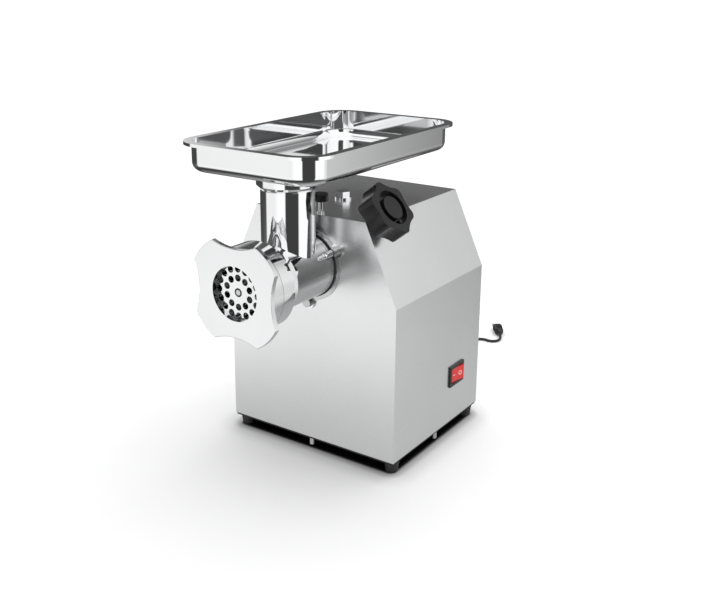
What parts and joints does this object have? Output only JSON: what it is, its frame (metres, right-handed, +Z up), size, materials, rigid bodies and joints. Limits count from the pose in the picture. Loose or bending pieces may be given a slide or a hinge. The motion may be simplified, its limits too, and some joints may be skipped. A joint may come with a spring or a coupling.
{
  "type": "electric meat grinder",
  "caption": "Electric meat grinder: sheet steel body on rubber feet, screw-fed grinding head with ring nut, loading tray, locking knob and rocker switch.",
  "frame": {"origin": "on the floor, under the middle of the body's symmetry plane, half way between the ring nut's face and the rear panel", "axes": "+Z up, -Y towards the grinding head's outlet, +X towards the side with the switch"},
  "size_m": [0.2246, 0.5956, 0.36],
  "materials": {
    "satin_steel": "satin",
    "polished_steel": "mirror polished",
    "machined_steel": "machined",
    "cast_aluminium": "cast",
    "black_sheet": "matte black paint",
    "black_rubber": "matte",
    "black_plastic": "semi gloss",
    "red_plastic": "gloss",
    "white_nylon": "matte",
    "copper_winding": "enamelled wire",
    "plug_brass": "bright"
  },
  "bodies": {
    "casing": {"front_panel": "satin_steel", "wrap_cover": "satin_steel", "rear_panel": "satin_steel", "rear_panel_screws": "machined_steel", "base_plate": "black_sheet", "rubber_feet": "black_rubber", "foot_screws": "machined_steel", "base_screws": "machined_steel", "head_socket": "machined_steel", "socket_gasket": "black_rubber", "socket_washers": "polished_steel", "socket_screws": "machined_steel", "pin_guide": "polished_steel", "pin_spring": "machined_steel", "oil_plug": "polished_steel", "gearbox_casing": "cast_aluminium", "gearbox_cover": "cast_aluminium", "output_front_bearing": "machined_steel", "output_rear_bearing": "machined_steel", "intermediate_bearings": "machined_steel", "oil_seal": "black_rubber", "motor_stator": "machined_steel", "motor_windings": "copper_winding", "motor_front_bell": "cast_aluminium", "motor_rear_bell": "cast_aluminium", "motor_bearings": "machined_steel", "motor_cradle": "cast_aluminium", "switch_housing": "black_plastic", "start_capacitor": "cast_aluminium", "capacitor_clamp": "machined_steel", "terminal_block": "black_plastic", "cord_gland": "black_plastic", "power_cord": "black_rubber", "cord_coil": "black_rubber", "power_cord_tail": "black_rubber", "plug_body": "black_plastic", "plug_pins": "plug_brass"},
    "rotor": {"motor_rotor": "machined_steel", "motor_shaft": "machined_steel", "motor_pinion": "machined_steel", "cooling_fan": "black_plastic"},
    "layshaft": {"intermediate_gear": "machined_steel", "intermediate_pinion": "machined_steel", "intermediate_shaft": "machined_steel"},
    "output_drive": {"output_gear": "machined_steel", "output_shaft": "machined_steel"},
    "head": {"head_barrel": "polished_steel", "plate_key": "machined_steel", "grinding_plate": "machined_steel", "plate_bush": "black_plastic", "thrust_washer": "white_nylon"},
    "feed_screw": {"auger": "machined_steel", "knife": "machined_steel"},
    "nut": {"ring_nut": "polished_steel"},
    "tray": {"loading_tray": "polished_steel"},
    "knob": {"locking_knob": "black_plastic", "knob_stud": "machined_steel"},
    "pin": {"index_pin": "polished_steel", "pin_cap": "black_plastic"},
    "rocker": {"switch_rocker": "red_plastic"}
  },
  "joints": [
    {"name": "motor_spin", "type": "hinge", "parent": "casing", "child": "rotor", "pos_m": [0, 0.09, 0.1025], "axis": [0, 1, 0], "continuous": true},
    {"name": "intermediate_spin", "type": "hinge", "parent": "casing", "child": "layshaft", "pos_m": [0, 0.03, 0.1535], "axis": [0, 1, 0], "continuous": true},
    {"name": "output_spin", "type": "hinge", "parent": "casing", "child": "output_drive", "pos_m": [0, 0.02, 0.2195], "axis": [0, 1, 0], "continuous": true},
    {"name": "head_slide", "type": "slide", "parent": "casing", "child": "head", "axis": [0, -1, 0], "range_m": [0, 0.12]},
    {"name": "auger_spin", "type": "hinge", "parent": "head", "child": "feed_screw", "pos_m": [0, -0.08, 0.2195], "axis": [0, 1, 0], "continuous": true},
    {"name": "ring_nut_turn", "type": "hinge", "parent": "head", "child": "nut", "pos_m": [0, -0.147, 0.2195], "axis": [0, -1, 0], "range_deg": [0, 1080]},
    {"name": "tray_lift", "type": "slide", "parent": "head", "child": "tray", "axis": [0, 0, 1], "range_m": [0, 0.08]},
    {"name": "knob_turn", "type": "hinge", "parent": "casing", "child": "knob", "pos_m": [0.08353, -0.015, 0.28476], "axis": [0.788, 0, 0.6157], "range_deg": [0, 1080]},
    {"name": "index_pin_pull", "type": "slide", "parent": "casing", "child": "pin", "axis": [0, 0, 1], "range_m": [0, 0.007], "stiffness_N_per_m": 400, "springref_m": -0.01, "deforming": ["pin_spring"]},
    {"name": "switch_rock", "type": "hinge", "parent": "casing", "child": "rocker", "pos_m": [0.109, 0.102, 0.0715], "axis": [0, 0, 1], "range_deg": [0, 18]}
  ],
  "couplings": [
    {"joint": "intermediate_spin", "follows": "motor_spin", "ratio": -0.30769},
    {"joint": "output_spin", "follows": "motor_spin", "ratio": 0.13378},
    {"joint": "auger_spin", "follows": "motor_spin", "ratio": 0.13378}
  ]
}
